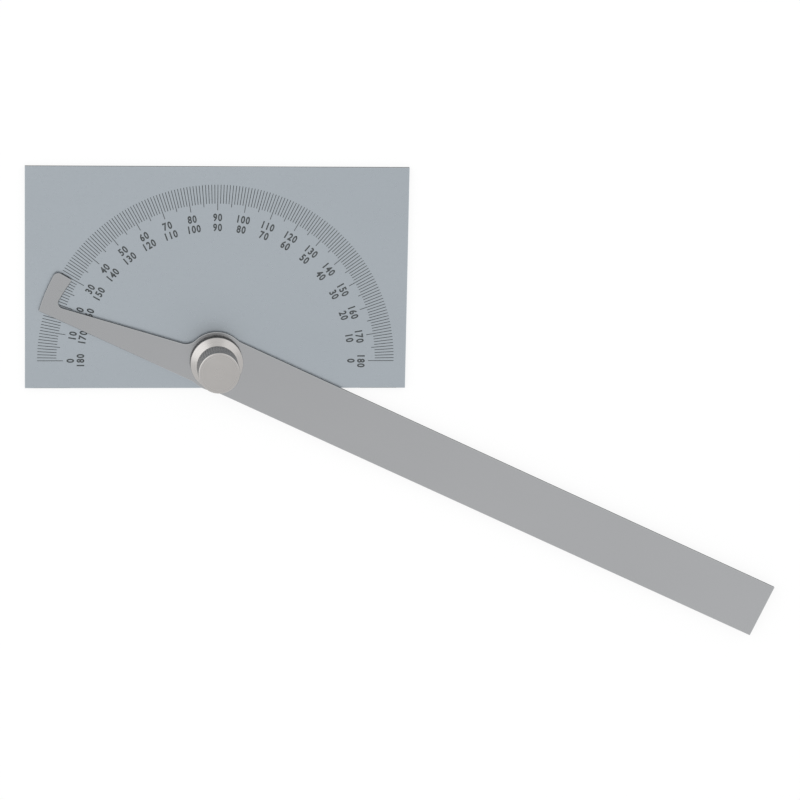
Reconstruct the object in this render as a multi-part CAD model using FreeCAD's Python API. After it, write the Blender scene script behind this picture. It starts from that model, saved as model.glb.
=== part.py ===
import FreeCAD, Part
import math
import os

# Rectangular-head bevel protractor, millimetres and degrees.
# Origin: pivot axis at the plate's back face.  +X runs along the plate's base edge towards
# the blade at reading 0, +Y runs up the plate and +Z stands out of the graduated face.

# Head plate
plate_length = 85.0        # along the base edge
plate_height = 50.0        # base edge to top edge
plate_thickness = 1.2
edge_break = 0.1           # broken edge round both faces of the plate and the arm

# Graduated half circle
scale_radius = 39.8        # outer ends of all the lines
degree_line = 4.25         # length of a 1 degree line
five_line = 4.95           # length of a 5 degree line
ten_line = 5.75            # length of a 10 degree line
line_width = 0.15
line_depth = 0.04
scale_span = 180           # degrees marked

# Arm: blade, hub and pointer in one stamping
arm_length = 180.0         # blade end to the pointer's outer arc
blade_width = 12.5
arm_thickness = 1.2
hub_lip = 0.5              # how far the round hub stands out beyond the blade's edges
hub_fillet = 3.0           # hub into the blade's edges and into the neck
toe_overhang = 1.3         # pointer's toe reaches this far past the scale's outer ends
toe_root_cover = 2.0       # how much of the lines it covers beside the neck
toe_tip_cover = 2.8        # and at its free end
toe_root_angle = 5.7       # the toe's inner edge, from the blade's axis back to the neck
toe_tip_angle = 4.9        # and on to its free end
toe_outer_corner = 1.2     # rounded corners at the toe's free end
toe_inner_corner = 0.5
toe_fillet = 1.2           # inner corner between toe and neck
neck_taper = 8.4           # upper edge of the neck against the blade's axis
index_length = 1.6         # reading line in from the toe's inner edge
index_width = 0.15
index_depth = 0.05
rest_reading = 25.0        # angle that the blade is set to

# Pivot stud
tail_radius = 2.5          # through the plate
rivet_radius = 3.5         # tail spread into the countersink at the back
rivet_depth = 0.6
shoulder_radius = 3.0      # the arm turns on this
shoulder_drop = 0.1        # the shoulder ends this far below the arm's top, so the nut can clamp
thread_radius = 2.5
thread_length = 8.2        # above the shoulder
thread_point = 0.4         # chamfer at the stud's end

# Washers
washer_radius = 5.0
washer_thickness = 0.6
spring_stock = 0.35        # sheet that the curved washer is cut from
spring_rise = 0.3          # its bow when clamped

# Clamp nut
nut_height = 10.7
nut_radius = 4.6           # knurled head
flange_radius = 5.85       # foot that presses on the washer
rim_height = 0.5           # straight rim of the flange
flare_height = 1.5         # foot of the nut to the top of the flange's slope
neck_radius = 3.8          # waist between flange and head
head_height = 7.3          # underside of the head to the nut's top
nut_rounding = 0.6         # round the nut's top
nut_roof = 2.0             # solid metal over the blind thread
knurl_count = 48
knurl_depth = 0.18
knurl_margin = 0.5         # plain band left at each end of the knurl

# Clearances
slide_gap = 0.05           # arm over the plate
seat_gap = 0.02            # between the clamped pieces
bore_clearance = 0.03      # arm on the shoulder, radial
thread_clearance = 0.05    # nut on the thread, radial
washer_clearance = 0.15    # washers round the thread, radial

# Worked out from the values above
pivot_height = blade_width / 2
hub_radius = blade_width / 2 + hub_lip
toe_outer = scale_radius + toe_overhang
toe_root = scale_radius - toe_root_cover
toe_tip = scale_radius - toe_tip_cover
blade_reach = arm_length - toe_outer
arm_bottom = plate_thickness + slide_gap
arm_top = arm_bottom + arm_thickness
shoulder_top = arm_top - shoulder_drop
spring_bottom = arm_top + seat_gap
spring_top = spring_bottom + spring_stock + spring_rise
washer_bottom = spring_top + seat_gap
washer_top = washer_bottom + washer_thickness
nut_bottom = washer_top + seat_gap
nut_top = nut_bottom + nut_height
washer_bore = thread_radius + washer_clearance

up = FreeCAD.Vector(0, 0, 1)
origin = FreeCAD.Vector(0, 0, 0)


def at(x, y, z=0.0):
    return FreeCAD.Vector(x, y, z)


def polar(radius, angle, z=0.0):
    """Point at an angle above the -X axis, the way the scale is read."""
    turn = math.radians(180 - angle)
    return at(radius * math.cos(turn), radius * math.sin(turn), z)


def arc(start, middle, end):
    return Part.Arc(start, middle, end).toShape()


def line(start, end):
    return Part.LineSegment(start, end).toShape()


def prism(edges, bottom, height):
    face = Part.Face(Part.Wire(edges))
    solid = face.extrude(at(0, 0, height))
    solid.translate(at(0, 0, bottom))
    return solid


def disc(radius, bottom, height):
    return Part.makeCylinder(radius, height, at(0, 0, bottom))


def turned(profile):
    """Solid of revolution about the pivot axis from (radius, z) corners."""
    corners = [at(radius, 0, z) for radius, z in profile]
    wire = Part.makePolygon(corners + corners[:1])
    return Part.Face(wire).revolve(origin, up, 360)


def upright_edges(solid, places):
    """Straight edges along Z that stand on the given plan positions."""
    found = []
    for edge in solid.Edges:
        first = edge.Vertexes[0].Point
        last = edge.Vertexes[-1].Point
        upright = math.hypot(first.x - last.x, first.y - last.y) < 1e-6
        if upright and any(math.hypot(first.x - p.x, first.y - p.y) < 1e-4 for p in places):
            found.append(edge)
    return found


def break_outer_edges(solid, bottom, top, keep_clear_of=0.0):
    """Chamfer the outline on both faces, leaving edges near the pivot axis sharp."""
    rims = []
    for edge in solid.Edges:
        box = edge.BoundBox
        flat = box.ZLength < 1e-6 and min(abs(box.ZMin - bottom), abs(box.ZMin - top)) < 1e-6
        middle = edge.valueAt((edge.FirstParameter + edge.LastParameter) / 2)
        if flat and math.hypot(middle.x, middle.y) > keep_clear_of:
            rims.append(edge)
    return solid.makeChamfer(edge_break, rims)


def graduation(angle):
    """Cutter for one line of the scale; every fifth and tenth is longer."""
    length = ten_line if angle % 10 == 0 else five_line if angle % 5 == 0 else degree_line
    cutter = Part.makeBox(length, line_width, 2 * line_depth)
    cutter.translate(at(-scale_radius, -line_width / 2, plate_thickness - line_depth))
    cutter.rotate(origin, up, -angle)
    return cutter


def head_plate():
    plate = Part.makeBox(plate_length, plate_height, plate_thickness)
    plate.translate(at(-plate_length / 2, -pivot_height, 0))
    plate = break_outer_edges(plate, 0, plate_thickness)
    plate = plate.cut(disc(tail_radius, 0, plate_thickness))
    countersink = Part.makeCone(rivet_radius, tail_radius, rivet_depth)
    plate = plate.cut(countersink)
    lines = Part.makeCompound([graduation(angle) for angle in range(scale_span + 1)])
    return plate.cut(lines)


def toe_middle():
    """Halfway along the toe's inner edge, which leans in towards its free end."""
    return polar((toe_root + toe_tip) / 2, (toe_tip_angle - toe_root_angle) / 2)


def neck_edge():
    """Slope of the neck's upper edge, and its height at the pivot if it ran on that far."""
    inner_corner = polar(toe_root, -toe_root_angle)
    slope = math.tan(math.radians(neck_taper))
    return slope, inner_corner.y - slope * inner_corner.x


def pointer_outline():
    """Neck and toe, from the hub to the toe's outer arc; the neck's lower edge is in line with the blade's."""
    half = blade_width / 2
    inner_corner = polar(toe_root, -toe_root_angle)
    neck_at_hub = neck_edge()[1]
    foot_angle = -math.degrees(math.asin(half / toe_outer))
    lower_corner = polar(toe_outer, foot_angle)
    outer_end = polar(toe_outer, toe_tip_angle)
    inner_end = polar(toe_tip, toe_tip_angle)
    return [
        line(at(0, -half), at(0, neck_at_hub)),
        line(at(0, neck_at_hub), inner_corner),
        arc(inner_corner, toe_middle(), inner_end),
        line(inner_end, outer_end),
        arc(outer_end, polar(toe_outer, (toe_tip_angle + foot_angle) / 2), lower_corner),
        line(lower_corner, at(0, -half)),
    ]


def neck_root():
    """Where the neck's upper edge, y = level + slope * x, leaves the hub circle."""
    slope, level = neck_edge()
    square = 1 + slope * slope
    root = math.sqrt(square * hub_radius ** 2 - level ** 2)
    x = (-slope * level - root) / square
    return at(x, level + slope * x)


def arm():
    half = blade_width / 2
    blade = Part.makeBox(blade_reach, blade_width, arm_thickness)
    blade.translate(at(0, -half, arm_bottom))
    pointer = prism(pointer_outline(), arm_bottom, arm_thickness)
    hub = disc(hub_radius, arm_bottom, arm_thickness)
    body = blade.fuse([pointer, hub]).removeSplitter()

    hub_side = math.sqrt(hub_radius ** 2 - half ** 2)
    hub_corners = [at(hub_side, half), at(hub_side, -half), at(-hub_side, -half), neck_root()]
    rounded = [
        (hub_fillet, hub_corners),
        (toe_fillet, [polar(toe_root, -toe_root_angle)]),
        (toe_inner_corner, [polar(toe_tip, toe_tip_angle)]),
        (toe_outer_corner, [polar(toe_outer, toe_tip_angle)]),
    ]
    for radius, places in rounded:
        body = body.makeFillet(radius, upright_edges(body, places))
    body = break_outer_edges(body, arm_bottom, arm_top)

    body = body.cut(disc(shoulder_radius + bore_clearance, arm_bottom, arm_thickness))
    body = body.cut(index_line())
    body.rotate(origin, up, -rest_reading)
    return body


def index_line():
    """Cutter for the reading line, on the blade's axis from the toe's inner edge outwards."""
    inner_edge = -toe_middle().x
    cutter = Part.makeBox(2 * index_length, index_width, 2 * index_depth)
    cutter.translate(at(-inner_edge - index_length, -index_width / 2, arm_top - index_depth))
    return cutter


def pivot_stud():
    thread_top = shoulder_top + thread_length
    return turned([
        (0, 0),
        (rivet_radius, 0),
        (tail_radius, rivet_depth),
        (tail_radius, plate_thickness),
        (shoulder_radius, plate_thickness),
        (shoulder_radius, shoulder_top),
        (thread_radius, shoulder_top),
        (thread_radius, thread_top - thread_point),
        (thread_radius - thread_point, thread_top),
        (0, thread_top),
    ])


def spring_washer():
    """Ring cut from a sheet bowed about the X axis."""
    bend_radius = (washer_radius ** 2 + spring_rise ** 2) / (2 * spring_rise)
    crown = spring_top - spring_stock
    centre_z = crown - bend_radius
    long_way = 2 * washer_radius
    outside = Part.makeCylinder(bend_radius + spring_stock, 2 * long_way, at(-long_way, 0, centre_z), at(1, 0, 0))
    inside = Part.makeCylinder(bend_radius, 2 * long_way, at(-long_way, 0, centre_z), at(1, 0, 0))
    blank = disc(washer_radius, spring_bottom - spring_rise, 2 * (spring_rise + spring_stock))
    hole = disc(washer_bore, spring_bottom - spring_rise, 2 * (spring_rise + spring_stock))
    return blank.cut(hole).common(outside).cut(inside)


def flat_washer():
    return disc(washer_radius, washer_bottom, washer_thickness).cut(
        disc(washer_bore, washer_bottom, washer_thickness))


def knurl_groove(turn):
    """Cutter for one straight groove down the nut's head, twice as wide as it is deep."""
    start = nut_top - head_height + knurl_margin
    end = nut_top - nut_rounding - knurl_margin
    corners = [
        at(nut_radius - knurl_depth, 0),
        at(nut_radius + knurl_depth, 2 * knurl_depth),
        at(nut_radius + knurl_depth, -2 * knurl_depth),
    ]
    wire = Part.makePolygon(corners + corners[:1])
    groove = Part.Face(wire).extrude(at(0, 0, end - start))
    groove.translate(at(0, 0, start))
    groove.rotate(origin, up, turn)
    return groove


def clamp_nut():
    """Flange, waist and knurled head round a blind thread."""
    bore_radius = thread_radius + thread_clearance
    hole_top = nut_top - nut_roof
    body = turned([
        (bore_radius, nut_bottom),
        (flange_radius, nut_bottom),
        (flange_radius, nut_bottom + rim_height),
        (neck_radius, nut_bottom + flare_height),
        (neck_radius, nut_top - head_height),
        (nut_radius, nut_top - head_height),
        (nut_radius, nut_top),
        (0, nut_top),
        (0, hole_top),
        (bore_radius, hole_top),
    ])
    crown = [edge for edge in body.Edges
             if abs(edge.BoundBox.ZMin - nut_top) < 1e-6 and edge.BoundBox.ZLength < 1e-6]
    body = body.makeFillet(nut_rounding, crown)
    grooves = [knurl_groove(360 * i / knurl_count) for i in range(knurl_count)]
    return body.cut(Part.makeCompound(grooves))


def main():
    os.makedirs("parts", exist_ok=True)
    pieces = {
        "head_plate": head_plate(),
        "arm": arm(),
        "pivot_stud": pivot_stud(),
        "spring_washer": spring_washer(),
        "flat_washer": flat_washer(),
        "clamp_nut": clamp_nut(),
    }
    for name, shape in pieces.items():
        print(name, "solids", len(shape.Solids), "valid", shape.isValid(), "volume %.2f" % shape.Volume)
        shape.exportStep("parts/" + name + ".step")


main()
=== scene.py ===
import math

import bpy
from bpy.props import FloatProperty, FloatVectorProperty, IntProperty, PointerProperty
from bpy.types import Operator, Panel, PropertyGroup
from mathutils import Matrix, Vector


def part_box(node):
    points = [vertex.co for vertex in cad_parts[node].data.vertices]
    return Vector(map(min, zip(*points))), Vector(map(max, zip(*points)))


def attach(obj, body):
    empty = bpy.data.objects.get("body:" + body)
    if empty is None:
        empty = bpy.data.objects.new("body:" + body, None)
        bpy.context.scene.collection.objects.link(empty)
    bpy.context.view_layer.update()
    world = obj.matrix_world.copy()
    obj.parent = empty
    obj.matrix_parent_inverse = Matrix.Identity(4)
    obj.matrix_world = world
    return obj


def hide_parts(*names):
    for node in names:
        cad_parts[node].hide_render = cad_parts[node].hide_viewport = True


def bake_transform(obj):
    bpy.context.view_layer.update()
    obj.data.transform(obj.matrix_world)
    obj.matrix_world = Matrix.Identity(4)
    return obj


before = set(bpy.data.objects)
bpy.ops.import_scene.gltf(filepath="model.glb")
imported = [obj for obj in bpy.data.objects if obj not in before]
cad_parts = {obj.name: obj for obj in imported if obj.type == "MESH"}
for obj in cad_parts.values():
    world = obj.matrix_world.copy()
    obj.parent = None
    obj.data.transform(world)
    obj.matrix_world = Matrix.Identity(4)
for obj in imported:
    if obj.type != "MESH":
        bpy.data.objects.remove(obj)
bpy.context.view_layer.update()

bl_info = {
    "name": "Rectangular Head Protractor",
    "version": (1, 0, 0),
    "blender": (4, 5, 0),
    "location": "View3D > Sidebar > Protractor",
    "description": "Finishes, scale figures, thumb nut and studio for a flat protractor",
    "category": "Object",
}

MM = 0.001

PLATE_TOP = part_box("head_plate")[1].z
SPRING_LOW, SPRING_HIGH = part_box("spring_washer")
NUT_LOW, NUT_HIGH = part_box("clamp_nut")

# Arm at rest: its turn below the base edge, and its reach each way from the pivot
ARM_TURN = math.radians(25)
TOE_REACH = 41 * MM
BLADE_REACH = 139 * MM

# Where the scale's grooves lie: from the pivot, and below the plate's face
LINES_INNER, LINES_OUTER = 33 * MM, 41 * MM
GROOVE_SHALLOW, GROOVE_DEEP = 0.012 * MM, 0.07 * MM
SCALE_SPAN = 180           # degrees from one end of the scale to the other

# Finishes
NOISE_LOW, NOISE_HIGH = 0.3, 0.7   # nearly all of a noise's values lie between these
BUMP_HEIGHT = 0.01 * MM
UPRIGHT_LIMIT = 0.5        # a face whose normal rises less than this stands upright
EDGE_ROUGHNESS = 0.5
INK_ROUGHNESS = 0.6

# Meshes
STEPS_PER_RIDGE = 6        # columns of faces from one ridge of the nut to the next
FLANK_SHARE = 0.62         # depth beside the middle of a valley, as a share of its depth
SKIN_SHARE = 0.98          # points further out than this share of the head's radius are its skin
CROWN_STEPS = 5            # rows of faces round the nut's crown
RING_STEPS = 96            # columns of faces round the curved washer
LETTER_STEPS = 3           # points along each curve of a figure
EDGE_SEGMENTS = 2          # rows of faces round a bevelled edge
EDGE_ANGLE = math.radians(30)   # edges that turn by more than this are bevelled
ALONG_AXIS = 0.9           # a normal's share along an axis when its face looks that way
TOUCHING = 0.01 * MM       # heights this close are the same
WELD_DISTANCE = 1e-7

# Stage
FLOOR_SIZE = 3.0
FLOOR_DROP = 0.02 * MM     # the floor lies this far under the plate
PAPER_ROUGHNESS = 0.9
SENSOR_WIDTH = 36.0
WALL_RISE, CEILING_RISE = 0.2, 0.95   # upward part of the view where walls end, ceiling starts


# ---------------------------------------------------------------- settings


class FinishSettings(PropertyGroup):
    """Colours, painted shade and light, and roughness of the metals and the ink."""

    plate_colour: FloatVectorProperty(
        name="Plate", description="Satin stainless of the head plate",
        subtype="COLOR", size=3, min=0, max=1, default=(0.433, 0.475, 0.512))
    arm_colour: FloatVectorProperty(
        name="Arm", description="Satin stainless of the arm",
        subtype="COLOR", size=3, min=0, max=1, default=(0.440, 0.447, 0.457))
    # Painted shade: the cut edges are duller metal, darkened further to stand in for their shadow
    # and dark reflection
    edge_colour: FloatVectorProperty(
        name="Cut Edge Shade", description="Duller metal and painted shade of the sheared edges",
        subtype="COLOR", size=3, min=0, max=1, default=(0.130, 0.133, 0.137))
    nut_colour: FloatVectorProperty(
        name="Nut", description="Nickel plate of the thumb nut",
        subtype="COLOR", size=3, min=0, max=1, default=(0.485, 0.470, 0.457))
    # Painted shade: the nut's upright sides are darkened to stand in for the dark reflection and
    # shade on its walls
    ridge_colour: FloatVectorProperty(
        name="Nut Ridge Shade", description="Painted shade of the nut's upright sides",
        subtype="COLOR", size=3, min=0, max=1, default=(0.215, 0.206, 0.200))
    steel_colour: FloatVectorProperty(
        name="Washers", description="Bare steel of the washers and the stud",
        subtype="COLOR", size=3, min=0, max=1, default=(0.350, 0.345, 0.338))
    ink_colour: FloatVectorProperty(
        name="Ink", description="Dark fill of the lines and figures",
        subtype="COLOR", size=3, min=0, max=1, default=(0.045, 0.052, 0.055))
    plate_roughness: FloatProperty(
        name="Plate Roughness", description="How matt the plate is",
        subtype="FACTOR", min=0, max=1, default=0.30)
    arm_roughness: FloatProperty(
        name="Arm Roughness", description="How matt the arm is",
        subtype="FACTOR", min=0, max=1, default=0.16)
    nut_roughness: FloatProperty(
        name="Nut Roughness", description="How matt the nut's plating is",
        subtype="FACTOR", min=0, max=1, default=0.30)
    # Painted light: the arm's colour grows lighter from toe to blade end, standing in for the
    # lighting gradient along it
    toe_tone: FloatProperty(
        name="Toe Painted Light", description="Brightness of the arm's painted light at its toe",
        min=0, default=0.95)
    blade_tone: FloatProperty(
        name="Blade Painted Light", description="Brightness of the arm's painted light at the blade's end",
        min=0, default=1.07)


class ScaleSettings(PropertyGroup):
    """Two rows of figures inside the graduated half circle."""

    outer_row: FloatProperty(
        name="Outer Row", description="Radius through the middle of the outer figures",
        unit="LENGTH", default=32.45 * MM)
    inner_row: FloatProperty(
        name="Inner Row", description="Radius through the middle of the inner figures",
        unit="LENGTH", default=30.2 * MM)
    figure_height: FloatProperty(
        name="Figure Height", description="Height of a figure",
        unit="LENGTH", default=1.75 * MM)
    figure_width: FloatProperty(
        name="Figure Width",
        description="Width of a nought; the other figures keep their own share",
        unit="LENGTH", default=0.92 * MM)
    figure_weight: FloatProperty(
        name="Figure Weight",
        description="How far the strokes are thickened, as a share of the letter size",
        subtype="FACTOR", min=0, max=0.1, default=0.034)
    figure_pitch: FloatProperty(
        name="Figure Pitch", description="Distance between neighbouring figures",
        unit="LENGTH", default=1.08 * MM)
    print_thickness: FloatProperty(
        name="Print Thickness", description="How far the ink stands over the plate",
        unit="LENGTH", default=0.012 * MM)
    step: IntProperty(name="Step", description="Degrees between figures", min=1, default=10)


class NutSettings(PropertyGroup):
    """Outline, knurl and edges of the thumb nut."""

    body_radius: FloatProperty(
        name="Body Radius", description="Radius over the ridges",
        unit="LENGTH", default=4.6 * MM)
    rim_height: FloatProperty(
        name="Rim Height", description="Straight rim at the nut's foot",
        unit="LENGTH", default=0.5 * MM)
    flare_height: FloatProperty(
        name="Flare Height", description="Foot of the nut to the top of its sloping flange",
        unit="LENGTH", default=1.5 * MM)
    neck_radius: FloatProperty(
        name="Neck Radius", description="Waist between the flange and the head",
        unit="LENGTH", default=3.8 * MM)
    head_height: FloatProperty(
        name="Head Height", description="Underside of the head to the nut's top",
        unit="LENGTH", default=7.3 * MM)
    crown_radius: FloatProperty(
        name="Crown Radius", description="Rounding of the nut's top edge",
        unit="LENGTH", default=0.3 * MM)
    bore_radius: FloatProperty(
        name="Bore Radius", description="Blind hole that the stud screws into",
        unit="LENGTH", default=2.55 * MM)
    roof: FloatProperty(
        name="Roof", description="Solid metal over the blind hole",
        unit="LENGTH", default=2.0 * MM)
    ridge_count: IntProperty(
        name="Ridges", description="Straight ridges round the nut's head", min=8, default=48)
    ridge_depth: FloatProperty(
        name="Ridge Depth", description="Depth of the grooves between ridges",
        unit="LENGTH", default=0.18 * MM)
    ridge_margin: FloatProperty(
        name="Ridge Margin", description="Plain band left at each end of the ridges",
        unit="LENGTH", default=0.5 * MM)
    edge_radius: FloatProperty(
        name="Edge Radius", description="Rounding of the nut's sharp edges",
        unit="LENGTH", default=0.06 * MM)


class SpringSettings(PropertyGroup):
    """Sizes of the curved washer under the nut."""

    bore_radius: FloatProperty(
        name="Bore Radius", description="Hole round the stud", unit="LENGTH", default=2.65 * MM)
    stock: FloatProperty(
        name="Stock", description="Thickness of the sheet it is cut from",
        unit="LENGTH", default=0.35 * MM)
    rows: IntProperty(
        name="Rows", description="Rows of faces from the bore to the outer edge", min=1, default=4)
    edge_radius: FloatProperty(
        name="Edge Radius", description="Rounding of its edges",
        unit="LENGTH", default=0.04 * MM)


class StageSettings(PropertyGroup):
    """Camera, lamps and floor."""

    lens: FloatProperty(
        name="Lens", description="Focal length on a 36 mm sensor",
        subtype="DISTANCE_CAMERA", default=174.8)
    camera_place: FloatVectorProperty(
        name="Camera", description="Where the camera stands",
        subtype="TRANSLATION", unit="LENGTH", size=3, default=(-0.0460, 0.1835, 0.8485))
    camera_aim: FloatVectorProperty(
        name="Aim", description="Point that the camera looks at",
        subtype="TRANSLATION", unit="LENGTH", size=3, default=(0.04144, -0.00906, 0.0012))
    camera_roll: FloatProperty(
        name="Roll", description="Turn of the camera about its own axis",
        subtype="ANGLE", default=math.radians(1.213))
    ceiling_level: FloatProperty(
        name="Ceiling Level", description="Brightness of the room straight overhead",
        min=0, default=0.84)
    wall_level: FloatProperty(
        name="Wall Level", description="Brightness of the room low down", min=0, default=1.0)
    left_lamp: FloatProperty(
        name="Left Lamp", description="Brightness of the lamp up on the left",
        min=0, default=0.78)
    right_lamp: FloatProperty(
        name="Right Lamp", description="Brightness of the lamp up on the right",
        min=0, default=0.38)
    floor_colour: FloatVectorProperty(
        name="Floor", description="Paper that the object lies on",
        subtype="COLOR", size=3, min=0, max=1, default=(0.96, 0.96, 0.96))
    floor_glow: FloatProperty(
        name="Floor Glow",
        description="Share of the floor that is plain white whatever light falls on it",
        subtype="FACTOR", min=0, max=1, default=0.85)


# ---------------------------------------------------------------- mesh helpers


def deselect():
    """Leave edit mode and select nothing."""
    if bpy.context.object and bpy.context.object.mode != "OBJECT":
        bpy.ops.object.mode_set(mode="OBJECT")
    bpy.ops.object.select_all(action="DESELECT")


def activate(piece):
    """Select one piece alone and make it the active one."""
    deselect()
    piece.select_set(True)
    bpy.context.view_layer.objects.active = piece


def settle(piece):
    """Put a piece's place, turn and size into its mesh."""
    activate(piece)
    bpy.ops.object.transform_apply(location=True, rotation=True, scale=True)


def pick_faces(piece, wanted):
    """Select the faces that pass a test and go into edit mode."""
    activate(piece)
    mesh = piece.data
    for part in (*mesh.vertices, *mesh.edges):
        part.select = False
    for face in mesh.polygons:
        face.select = wanted(face)
    bpy.context.tool_settings.mesh_select_mode = (False, False, True)
    bpy.ops.object.mode_set(mode="EDIT")


def pick_points(piece, wanted):
    """Select the vertices that pass a test and go into edit mode."""
    activate(piece)
    mesh = piece.data
    for part in (*mesh.polygons, *mesh.edges):
        part.select = False
    for point in mesh.vertices:
        point.select = wanted(point.co)
    bpy.context.tool_settings.mesh_select_mode = (True, False, False)
    bpy.ops.object.mode_set(mode="EDIT")


def leave_edit():
    bpy.ops.object.mode_set(mode="OBJECT")


def draw_up(profile, start_radius, start_height):
    """Extrude the selected end face through (radius, height) steps about the Z axis."""
    radius, height = start_radius, start_height
    for next_radius, next_height in profile:
        bpy.ops.mesh.extrude_region_move(
            TRANSFORM_OT_translate={"value": (0, 0, next_height - height)})
        ratio = next_radius / radius
        bpy.ops.transform.resize(value=(ratio, ratio, 1), center_override=(0, 0, next_height))
        radius, height = next_radius, next_height


def round_edges(piece, width):
    """Bevel the sharp edges, and shade the rest smooth."""
    activate(piece)
    bevel = piece.modifiers.new("edges", "BEVEL")
    bevel.width = width
    bevel.segments = EDGE_SEGMENTS
    bevel.limit_method = "ANGLE"
    bevel.angle_limit = EDGE_ANGLE
    bpy.ops.object.modifier_apply(modifier=bevel.name)
    bpy.ops.object.shade_smooth_by_angle(angle=EDGE_ANGLE)


def wear(piece, material):
    """Give a piece one material all over."""
    if piece.material_slots:
        for slot in piece.material_slots:
            slot.material = material
    else:
        piece.data.materials.append(material)


# ---------------------------------------------------------------- materials


class Nodes:
    """Short way to add and join the nodes of one material."""

    def __init__(self, name):
        self.material = bpy.data.materials.new(name)
        self.material.use_nodes = True
        self.tree = self.material.node_tree
        self.shader = self.tree.nodes["Principled BSDF"]
        self.place = self.add("ShaderNodeTexCoord").outputs["Object"]

    def add(self, kind, **settings):
        node = self.tree.nodes.new(kind)
        for key, value in settings.items():
            setattr(node, key, value)
        return node

    def link(self, source, target):
        self.tree.links.new(source, target)

    def put(self, socket, value):
        """Join a socket to another one, or set its number."""
        if isinstance(value, bpy.types.NodeSocket):
            self.link(value, socket)
        else:
            socket.default_value = value

    def math(self, operation, first, second=0.0):
        node = self.add("ShaderNodeMath", operation=operation)
        self.put(node.inputs[0], first)
        self.put(node.inputs[1], second)
        return node.outputs[0]

    def summed(self, first, first_share, second, second_share):
        """Two values added, each times its share."""
        return self.math("ADD", self.math("MULTIPLY", first, first_share),
                         self.math("MULTIPLY", second, second_share))

    def mapped(self, scale, turn):
        """Object coordinates turned about Z, then stretched."""
        turned = self.add("ShaderNodeMapping")
        turned.inputs["Rotation"].default_value = (0, 0, turn)
        self.link(self.place, turned.inputs["Vector"])
        stretched = self.add("ShaderNodeMapping")
        stretched.inputs["Scale"].default_value = scale
        self.link(turned.outputs[0], stretched.inputs["Vector"])
        return stretched.outputs[0]

    def noise(self, vector, scale, detail, roughness=0.55):
        node = self.add("ShaderNodeTexNoise")
        node.inputs["Scale"].default_value = scale
        node.inputs["Detail"].default_value = detail
        node.inputs["Roughness"].default_value = roughness
        self.link(vector, node.inputs["Vector"])
        return node.outputs["Fac"]

    def span(self, value, low, high, from_low, from_high):
        """Map a value's range to another, held at both ends."""
        node = self.add("ShaderNodeMapRange")
        for name, number in zip(("From Min", "From Max", "To Min", "To Max"),
                                (from_low, from_high, low, high)):
            node.inputs[name].default_value = number
        self.link(value, node.inputs["Value"])
        return node.outputs["Result"]

    def spread(self, noise, low, high):
        """Map a noise's usual range to another."""
        return self.span(noise, low, high, NOISE_LOW, NOISE_HIGH)

    def mix(self, factor, first, second):
        """The first colour where the factor is 0, the second where it is 1."""
        node = self.add("ShaderNodeMix", data_type="RGBA")
        self.put(node.inputs[0], factor)
        for socket, colour in ((node.inputs[6], first), (node.inputs[7], second)):
            linked = isinstance(colour, bpy.types.NodeSocket)
            self.put(socket, colour if linked else (*colour, 1.0))
        return node.outputs[2]

    def scaled(self, colour, value):
        """A colour made darker or lighter by a value near 1."""
        node = self.add("ShaderNodeVectorMath", operation="SCALE")
        self.put(node.inputs[0], colour)
        self.put(node.inputs["Scale"], value)
        return node.outputs[0]

    def bump(self, height, strength):
        node = self.add("ShaderNodeBump")
        node.inputs["Strength"].default_value = strength
        node.inputs["Distance"].default_value = BUMP_HEIGHT
        self.link(height, node.inputs["Height"])
        self.link(node.outputs["Normal"], self.shader.inputs["Normal"])


def axial_distance(nodes):
    """Distance from the pivot axis, and the height, at each point."""
    parts = nodes.add("ShaderNodeSeparateXYZ")
    nodes.link(nodes.place, parts.inputs[0])
    flat = nodes.add("ShaderNodeCombineXYZ")
    nodes.link(parts.outputs["X"], flat.inputs["X"])
    nodes.link(parts.outputs["Y"], flat.inputs["Y"])
    length = nodes.add("ShaderNodeVectorMath", operation="LENGTH")
    nodes.link(flat.outputs[0], length.inputs[0])
    return length.outputs["Value"], parts.outputs["Z"]


def scale_grooves(nodes):
    """1 on the floor of the scale's grooves, and 0 on the rest of the plate."""
    radius, height = axial_distance(nodes)
    under = nodes.math("LESS_THAN", height, PLATE_TOP - GROOVE_SHALLOW)
    over = nodes.math("GREATER_THAN", height, PLATE_TOP - GROOVE_DEEP)
    wide = nodes.math("GREATER_THAN", radius, LINES_INNER)
    near = nodes.math("LESS_THAN", radius, LINES_OUTER)
    return nodes.math("MULTIPLY", nodes.math("MULTIPLY", under, over),
                      nodes.math("MULTIPLY", wide, near))


def upright(nodes):
    """1 on faces that stand upright, such as sheared edges and the ridges of the nut, where
    painted shade goes.
    """
    facing = nodes.add("ShaderNodeTexCoord").outputs["Normal"]
    parts = nodes.add("ShaderNodeSeparateXYZ")
    nodes.link(facing, parts.inputs[0])
    return nodes.math("LESS_THAN", nodes.math("ABSOLUTE", parts.outputs["Z"]), UPRIGHT_LIMIT)


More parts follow.
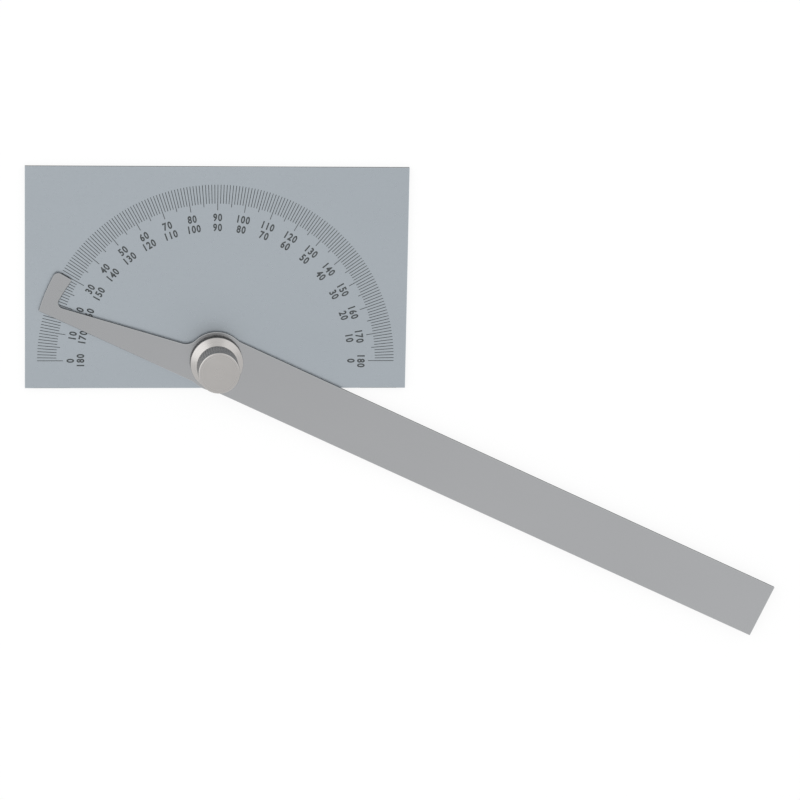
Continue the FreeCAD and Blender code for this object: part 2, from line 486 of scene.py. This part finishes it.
def satin_sheet(nodes, colour, roughness, finish, turn, painted_light=1.0):
    """Colour and roughness of satin sheet: fine grain one way, faint clouds, an optional painted
    light ramp, and cut edges of duller metal darkened further with painted shade.
    """
    grain_way = nodes.mapped(scale=(420, 4200, 420), turn=turn)
    grain = nodes.noise(grain_way, scale=1.0, detail=4.0, roughness=0.6)
    cloud = nodes.noise(nodes.mapped(scale=(22, 40, 22), turn=turn), scale=1.0, detail=2.0)
    speck = nodes.noise(nodes.place, scale=1500.0, detail=2.0)
    shade = nodes.spread(nodes.summed(grain, 0.3, cloud, 0.7), low=0.98, high=1.02)
    # Painted light from the caller, such as the arm's ramp from toe to blade end
    shade = nodes.math("MULTIPLY", shade, painted_light)
    edge = upright(nodes)
    # Painted shade: upright faces take the dark edge colour, standing in for the shadow and dark
    # reflection on the cut edges
    metal = nodes.mix(edge, nodes.scaled(colour, shade), finish.edge_colour)
    rough = nodes.spread(speck, low=roughness - 0.03, high=roughness + 0.03)
    rough = nodes.math("MAXIMUM", rough, nodes.math("MULTIPLY", edge, EDGE_ROUGHNESS))
    nodes.bump(grain, strength=0.03)
    return metal, rough


def satin_plate(finish):
    """The head plate, grained along its base edge, with the scale's lines filled."""
    nodes = Nodes("satin_plate")
    metal, rough = satin_sheet(
        nodes, finish.plate_colour, finish.plate_roughness, finish, turn=0.0)
    filled = scale_grooves(nodes)
    nodes.link(nodes.mix(filled, metal, finish.ink_colour), nodes.shader.inputs["Base Color"])
    nodes.link(nodes.math("SUBTRACT", 1.0, filled), nodes.shader.inputs["Metallic"])
    nodes.link(nodes.math("MAXIMUM", rough, nodes.math("MULTIPLY", filled, INK_ROUGHNESS)),
               nodes.shader.inputs["Roughness"])
    return nodes.material


def brushed_arm(finish):
    """The arm, grained along its blade, with painted light making it a little paler towards the
    blade's end.
    """
    nodes = Nodes("brushed_arm")
    parts = nodes.add("ShaderNodeSeparateXYZ")
    nodes.link(nodes.mapped(scale=(1, 1, 1), turn=ARM_TURN), parts.inputs[0])
    # Painted light: brightness ramp along the arm from toe to blade end
    painted_light = nodes.span(parts.outputs["X"], finish.toe_tone, finish.blade_tone,
                      -TOE_REACH, BLADE_REACH)
    metal, rough = satin_sheet(
        nodes, finish.arm_colour, finish.arm_roughness, finish, ARM_TURN, painted_light)
    nodes.link(metal, nodes.shader.inputs["Base Color"])
    nodes.link(rough, nodes.shader.inputs["Roughness"])
    nodes.shader.inputs["Metallic"].default_value = 1.0
    return nodes.material


def plated_nut(finish):
    """Bright plating with faint turning rings, and painted shade on the upright sides."""
    nodes = Nodes("plated_nut")
    radius, height = axial_distance(nodes)
    along = nodes.add("ShaderNodeCombineXYZ")
    nodes.link(radius, along.inputs["X"])
    nodes.link(height, along.inputs["Z"])
    rings = nodes.noise(along.outputs[0], scale=5200.0, detail=2.0)
    cloud = nodes.noise(nodes.place, scale=260.0, detail=2.0)
    shade = nodes.spread(nodes.summed(rings, 0.4, cloud, 0.6), low=0.96, high=1.04)
    metal = nodes.scaled(finish.nut_colour, shade)
    # Painted shade on the nut's upright sides
    metal = nodes.mix(upright(nodes), metal, finish.ridge_colour)
    nodes.link(metal, nodes.shader.inputs["Base Color"])
    nodes.shader.inputs["Metallic"].default_value = 1.0
    rough = nodes.spread(
        rings, low=finish.nut_roughness - 0.05, high=finish.nut_roughness + 0.06)
    nodes.link(rough, nodes.shader.inputs["Roughness"])
    nodes.bump(rings, strength=0.08)
    return nodes.material


def bare_steel(finish, name, brightness):
    """Plain steel of the small hidden pieces, with a soft mottle."""
    nodes = Nodes(name)
    mottle = nodes.noise(nodes.place, scale=900.0, detail=3.0)
    colour = tuple(channel * brightness for channel in finish.steel_colour)
    metal = nodes.scaled(colour, nodes.spread(mottle, low=0.88, high=1.12))
    nodes.link(metal, nodes.shader.inputs["Base Color"])
    nodes.shader.inputs["Metallic"].default_value = 1.0
    nodes.link(nodes.spread(mottle, low=0.34, high=0.5), nodes.shader.inputs["Roughness"])
    nodes.bump(mottle, strength=0.08)
    return nodes.material


def figure_ink(finish):
    """Matt dark ink, slightly uneven."""
    nodes = Nodes("figure_ink")
    uneven = nodes.noise(nodes.place, scale=3500.0, detail=2.0)
    shade = nodes.scaled(finish.ink_colour, nodes.spread(uneven, low=0.7, high=1.5))
    nodes.link(shade, nodes.shader.inputs["Base Color"])
    nodes.shader.inputs["Roughness"].default_value = INK_ROUGHNESS
    return nodes.material


# ---------------------------------------------------------------- operators


class PROTRACTOR_OT_metal_finishes(Operator):
    """Give the plate, the arm, the stud and the flat washer their metals"""

    bl_idname = "protractor.metal_finishes"
    bl_label = "Metal Finishes"

    def execute(self, context):
        finish = context.scene.protractor_finish
        wear(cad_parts["head_plate"], satin_plate(finish))
        wear(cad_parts["arm"], brushed_arm(finish))
        wear(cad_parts["pivot_stud"], bare_steel(finish, "turned_stud", brightness=1.4))
        wear(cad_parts["flat_washer"], bare_steel(finish, "washer_steel", brightness=1.1))
        return {"FINISHED"}


class PROTRACTOR_OT_scale_figures(Operator):
    """Print the two rows of plain figures along the scale"""

    bl_idname = "protractor.scale_figures"
    bl_label = "Scale Figures"

    def execute(self, context):
        settings = context.scene.protractor_scale
        ink = figure_ink(context.scene.protractor_finish)
        outlines = {figure: flat_figure(figure, settings) for figure in "0123456789"}
        for row, radius, counts_back in (("outer", settings.outer_row, False),
                                         ("inner", settings.inner_row, True)):
            copies = []
            for angle in range(0, SCALE_SPAN + 1, settings.step):
                number = SCALE_SPAN - angle if counts_back else angle
                copies += set_number(str(number), radius, angle, outlines, settings)
            figures = joined(copies, "scale_figures_" + row)
            thicken(figures, settings.print_thickness)
            wear(figures, ink)
            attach(figures, "head")
        for outline in outlines.values():
            bpy.data.meshes.remove(outline)
        return {"FINISHED"}


def flat_figure(figure, settings):
    """Flat mesh of one figure about its own middle, at the scale's figure height and width."""
    nought = text_mesh("0", settings)
    mesh = text_mesh(figure, settings)
    middle = extent(mesh)[0]
    full = extent(nought)[1]
    fit = Matrix.Diagonal((settings.figure_width / full.x, settings.figure_height / full.y, 1, 1))
    mesh.transform(fit @ Matrix.Translation(-middle))
    bpy.data.meshes.remove(nought)
    return mesh


def text_mesh(text, settings):
    """Flat mesh of a text in the plain built-in face."""
    deselect()
    bpy.ops.object.text_add(location=(0, 0, 0))
    letter = bpy.context.object
    letter.data.body = text
    letter.data.resolution_u = LETTER_STEPS
    letter.data.offset = settings.figure_weight
    bpy.ops.object.convert(target="MESH")
    mesh = bpy.context.object.data
    bpy.data.objects.remove(bpy.context.object)
    return mesh


def extent(mesh):
    """Middle and size of a mesh's box."""
    corners = [point.co for point in mesh.vertices]
    low = Vector(map(min, zip(*corners)))
    high = Vector(map(max, zip(*corners)))
    return (low + high) / 2, high - low


def set_number(text, radius, angle, outlines, settings):
    """Copies of one number's figures, side by side, their tops pointing away from the pivot."""
    turn = math.radians(SCALE_SPAN - angle)
    outward = Vector((math.cos(turn), math.sin(turn), 0))
    across = Vector((outward.y, -outward.x, 0))
    middle = (len(text) - 1) / 2
    copies = []
    for place, figure in enumerate(text):
        spot = outward * radius + across * (place - middle) * settings.figure_pitch
        spot.z = PLATE_TOP
        mesh = outlines[figure].copy()
        mesh.transform(Matrix.Translation(spot) @ Matrix.Rotation(turn - math.pi / 2, 4, "Z"))
        copy = bpy.data.objects.new("figure", mesh)
        bpy.context.scene.collection.objects.link(copy)
        copies.append(copy)
    return copies


def joined(pieces, name):
    """One named piece made of several."""
    deselect()
    for piece in pieces:
        piece.select_set(True)
    bpy.context.view_layer.objects.active = pieces[0]
    bpy.ops.object.join()
    piece = bpy.context.object
    piece.name = name
    piece.data.name = name
    return piece


def thicken(piece, thickness):
    """Raise a flat piece's faces by its thickness, with walls."""
    activate(piece)
    bpy.ops.object.mode_set(mode="EDIT")
    bpy.ops.mesh.select_all(action="SELECT")
    bpy.ops.mesh.remove_doubles(threshold=WELD_DISTANCE)
    bpy.ops.mesh.extrude_region_move(TRANSFORM_OT_translate={"value": (0, 0, thickness)})
    bpy.ops.mesh.select_all(action="SELECT")
    bpy.ops.mesh.normals_make_consistent(inside=False)
    leave_edit()


class PROTRACTOR_OT_thumb_nut(Operator):
    """Turn the thumb nut with its flange, knurl it and round its edges"""

    bl_idname = "protractor.thumb_nut"
    bl_label = "Thumb Nut"

    def execute(self, context):
        settings = context.scene.protractor_nut
        nut = turned_nut(settings)
        press_ridges(nut, settings)
        round_edges(nut, settings.edge_radius)
        wear(nut, plated_nut(context.scene.protractor_finish))
        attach(nut, "nut")
        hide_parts("clamp_nut")
        return {"FINISHED"}


def ridge_span(settings):
    """Lower and upper end of the ridges on the head."""
    low = NUT_HIGH.z - settings.head_height + settings.ridge_margin
    return low, NUT_HIGH.z - settings.crown_radius - settings.ridge_margin


def turned_nut(settings):
    """Body of revolution drawn up from its foot, with a blind hole below."""
    foot = NUT_LOW.z
    crown = NUT_HIGH.z
    flange = NUT_HIGH.x
    rim = foot + settings.rim_height
    deselect()
    bpy.ops.mesh.primitive_cylinder_add(
        vertices=STEPS_PER_RIDGE * settings.ridge_count, radius=flange,
        depth=settings.rim_height, location=(0, 0, (foot + rim) / 2))
    nut = bpy.context.object
    nut.name = "thumb_nut"
    settle(nut)
    neck = settings.neck_radius
    head_low = crown - settings.head_height
    body = settings.body_radius
    low, high = ridge_span(settings)
    fade = settings.ridge_depth
    rounding = settings.crown_radius
    profile = [(neck, foot + settings.flare_height), (neck, head_low), (body, head_low),
               (body, low), (body, low + fade), (body, high - fade), (body, high)]
    for row in range(CROWN_STEPS + 1):
        turn = math.radians(90 * row / CROWN_STEPS)
        profile.append((body - rounding * (1 - math.cos(turn)),
                        crown - rounding * (1 - math.sin(turn))))
    pick_faces(nut, lambda face: face.normal.z > ALONG_AXIS)
    draw_up(profile, flange, rim)
    leave_edit()
    bore = settings.bore_radius
    pick_faces(nut, lambda face: face.normal.z < -ALONG_AXIS and face.center.z < foot + TOUCHING)
    draw_up([(bore, foot), (bore, crown - settings.roof)], flange, foot)
    bpy.ops.mesh.select_all(action="SELECT")
    bpy.ops.mesh.normals_make_consistent(inside=False)
    leave_edit()
    return nut


def press_ridges(nut, settings):
    """Draw in the valleys between the ridges, clear of the plain bands."""
    low, high = ridge_span(settings)
    slack = settings.ridge_depth / 2
    step = 2 * math.pi / (STEPS_PER_RIDGE * settings.ridge_count)
    skin = settings.body_radius * SKIN_SHARE
    for offset, share in ((0, 1.0), (1, FLANK_SHARE), (STEPS_PER_RIDGE - 1, FLANK_SHARE)):
        def in_valley(point):
            if not low + slack < point.z < high - slack or point.xy.length < skin:
                return False
            column = round(math.atan2(point.y, point.x) / step)
            return column % STEPS_PER_RIDGE == offset
        pick_points(nut, in_valley)
        ratio = 1 - share * settings.ridge_depth / settings.body_radius
        bpy.ops.transform.resize(value=(ratio, ratio, 1), center_override=(0, 0, 0))
        leave_edit()


class PROTRACTOR_OT_curved_washer(Operator):
    """Cut the curved washer from sheet and bow it"""

    bl_idname = "protractor.curved_washer"
    bl_label = "Curved Washer"

    def execute(self, context):
        settings = context.scene.protractor_spring
        washer = sheet_ring(settings)
        round_edges(washer, settings.edge_radius)
        bow(washer, settings)
        wear(washer, bare_steel(
            context.scene.protractor_finish, "spring_steel", brightness=0.8))
        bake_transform(washer)
        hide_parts("spring_washer")
        return {"FINISHED"}


def sheet_ring(settings):
    """Flat ring round the Y axis, its face at y = 0 and its back one sheet further."""
    outer = SPRING_HIGH.x
    deselect()
    bpy.ops.mesh.primitive_cylinder_add(
        vertices=RING_STEPS, radius=outer, depth=settings.stock,
        location=(0, settings.stock / 2, 0), rotation=(math.pi / 2, 0, 0))
    ring = bpy.context.object
    ring.name = "curved_washer"
    settle(ring)
    pick_faces(ring, lambda face: abs(face.normal.y) > ALONG_AXIS)
    for _ in range(settings.rows):
        bpy.ops.mesh.inset(thickness=(outer - settings.bore_radius) / settings.rows)
    bpy.ops.mesh.delete(type="FACE")
    bpy.ops.mesh.select_mode(type="EDGE")
    bpy.ops.mesh.select_non_manifold()
    bpy.ops.mesh.bridge_edge_loops()
    bpy.ops.mesh.select_all(action="SELECT")
    bpy.ops.mesh.normals_make_consistent(inside=False)
    leave_edit()
    return ring


def bow(ring, settings):
    """Bend the ring about the X axis so that its foot and crown fill the height left for it."""
    reach = SPRING_HIGH.x
    rise = SPRING_HIGH.z - SPRING_LOW.z - settings.stock
    bend = ring.modifiers.new("bow", "SIMPLE_DEFORM")
    bend.deform_method = "BEND"
    bend.deform_axis = "X"
    # The ring's width over the radius of an arc that reaches and rises this far
    bend.angle = 4 * rise * reach / (reach ** 2 + rise ** 2)
    activate(ring)
    bpy.ops.object.modifier_apply(modifier=bend.name)
    ring.rotation_euler.x = -math.pi / 2
    ring.location.z = SPRING_HIGH.z
    settle(ring)


class PROTRACTOR_OT_studio(Operator):
    """Lay down the white floor and set the lamps, the room and the camera"""

    bl_idname = "protractor.studio"
    bl_label = "Studio"

    def execute(self, context):
        stage = context.scene.protractor_stage
        lay_floor(stage)
        light_room(stage)
        hang_lamps(stage)
        place_camera(stage)
        context.scene.view_settings.view_transform = "Standard"
        return {"FINISHED"}


def lay_floor(stage):
    """A wide sheet of paper just under the plate."""
    deselect()
    bpy.ops.mesh.primitive_plane_add(size=FLOOR_SIZE, location=(0, 0, -FLOOR_DROP))
    floor = bpy.context.object
    floor.name = "floor"
    settle(floor)
    wear(floor, white_paper(stage))


def white_paper(stage):
    """Pale matt paper that stays white to the eye and in reflections and keeps a faint shadow."""
    nodes = Nodes("white_paper")
    nodes.shader.inputs["Base Color"].default_value = (*stage.floor_colour, 1.0)
    nodes.shader.inputs["Roughness"].default_value = PAPER_ROUGHNESS
    nodes.shader.inputs["Specular IOR Level"].default_value = 0.0
    ray = nodes.add("ShaderNodeLightPath")
    seen = nodes.math("MAXIMUM", ray.outputs["Is Camera Ray"], ray.outputs["Is Glossy Ray"])
    seen = nodes.math("MAXIMUM", seen, ray.outputs["Is Transmission Ray"])
    white = nodes.add("ShaderNodeEmission")
    white.inputs["Color"].default_value = (1, 1, 1, 1)
    white.inputs["Strength"].default_value = 1.0
    blend = nodes.add("ShaderNodeMixShader")
    nodes.link(nodes.math("MULTIPLY", seen, stage.floor_glow), blend.inputs[0])
    nodes.link(nodes.shader.outputs[0], blend.inputs[1])
    nodes.link(white.outputs[0], blend.inputs[2])
    nodes.link(blend.outputs[0], nodes.tree.nodes["Material Output"].inputs["Surface"])
    return nodes.material


def light_room(stage):
    """A pale room, a little brighter towards the walls than straight overhead."""
    world = bpy.data.worlds.new("room")
    bpy.context.scene.world = world
    world.use_nodes = True
    tree = world.node_tree
    way = tree.nodes.new("ShaderNodeTexCoord")
    parts = tree.nodes.new("ShaderNodeSeparateXYZ")
    tree.links.new(way.outputs["Generated"], parts.inputs[0])
    level = tree.nodes.new("ShaderNodeMapRange")
    tree.links.new(parts.outputs["Z"], level.inputs["Value"])
    for name, number in (("From Min", WALL_RISE), ("From Max", CEILING_RISE),
                         ("To Min", stage.wall_level), ("To Max", stage.ceiling_level)):
        level.inputs[name].default_value = number
    background = tree.nodes["Background"]
    background.inputs["Color"].default_value = (1, 1, 1, 1)
    tree.links.new(level.outputs["Result"], background.inputs["Strength"])


def hang_lamp(name, azimuth, elevation, size, radiance):
    """Round soft lamp a metre from the pivot, facing it, as bright as its radiance says."""
    data = bpy.data.lights.new(name, "AREA")
    data.shape = "DISK"
    data.size = size
    # Radiance times pi times the disc's area
    data.energy = radiance * math.pi * math.pi * size ** 2 / 4
    lamp = bpy.data.objects.new(name, data)
    bpy.context.scene.collection.objects.link(lamp)
    turn, rise = math.radians(azimuth), math.radians(elevation)
    place = Vector((math.cos(turn) * math.cos(rise),
                    math.sin(turn) * math.cos(rise), math.sin(rise)))
    lamp.location = place
    lamp.rotation_euler = (-place).to_track_quat("-Z", "Y").to_euler()


def hang_lamps(stage):
    hang_lamp("left_lamp", azimuth=155, elevation=46, size=1.2, radiance=stage.left_lamp)
    hang_lamp("right_lamp", azimuth=38, elevation=45, size=1.0, radiance=stage.right_lamp)


def place_camera(stage):
    """Stand the camera at its place, aimed and rolled."""
    data = bpy.data.cameras.new("camera")
    data.lens = stage.lens
    data.sensor_width = SENSOR_WIDTH
    camera = bpy.data.objects.new("camera", data)
    bpy.context.scene.collection.objects.link(camera)
    bpy.context.scene.camera = camera
    ahead = (Vector(stage.camera_aim) - Vector(stage.camera_place)).normalized()
    right = ahead.cross(Vector((0, 1, 0))).normalized()
    top = right.cross(ahead)
    facing = Matrix((right, top, -ahead)).transposed().to_4x4()
    camera.matrix_world = (Matrix.Translation(Vector(stage.camera_place)) @ facing
                           @ Matrix.Rotation(stage.camera_roll, 4, "Z"))


# ---------------------------------------------------------------- panel


STEPS = (
    PROTRACTOR_OT_metal_finishes,
    PROTRACTOR_OT_scale_figures,
    PROTRACTOR_OT_thumb_nut,
    PROTRACTOR_OT_curved_washer,
    PROTRACTOR_OT_studio,
)


GROUPS = {
    "protractor_finish": FinishSettings,
    "protractor_scale": ScaleSettings,
    "protractor_nut": NutSettings,
    "protractor_spring": SpringSettings,
    "protractor_stage": StageSettings,
}


class PROTRACTOR_PT_panel(Panel):
    """Lists the protractor's steps and settings"""

    bl_idname = "PROTRACTOR_PT_panel"
    bl_label = "Protractor"
    bl_space_type = "VIEW_3D"
    bl_region_type = "UI"
    bl_category = "Protractor"

    def draw(self, context):
        for step in STEPS:
            self.layout.operator(step.bl_idname)
        for name, group in GROUPS.items():
            box = self.layout.box()
            for setting in group.__annotations__:
                box.prop(getattr(context.scene, name), setting)


CLASSES = (*GROUPS.values(), *STEPS, PROTRACTOR_PT_panel)


def register():
    for item in CLASSES:
        bpy.utils.register_class(item)
    for name, group in GROUPS.items():
        setattr(bpy.types.Scene, name, PointerProperty(type=group))


def unregister():
    for name in GROUPS:
        delattr(bpy.types.Scene, name)
    for item in reversed(CLASSES):
        bpy.utils.unregister_class(item)


def main():
    register()
    bpy.ops.protractor.metal_finishes()
    bpy.ops.protractor.scale_figures()
    bpy.ops.protractor.thumb_nut()
    bpy.ops.protractor.curved_washer()
    bpy.ops.protractor.studio()


if __name__ == "__main__":
    main()
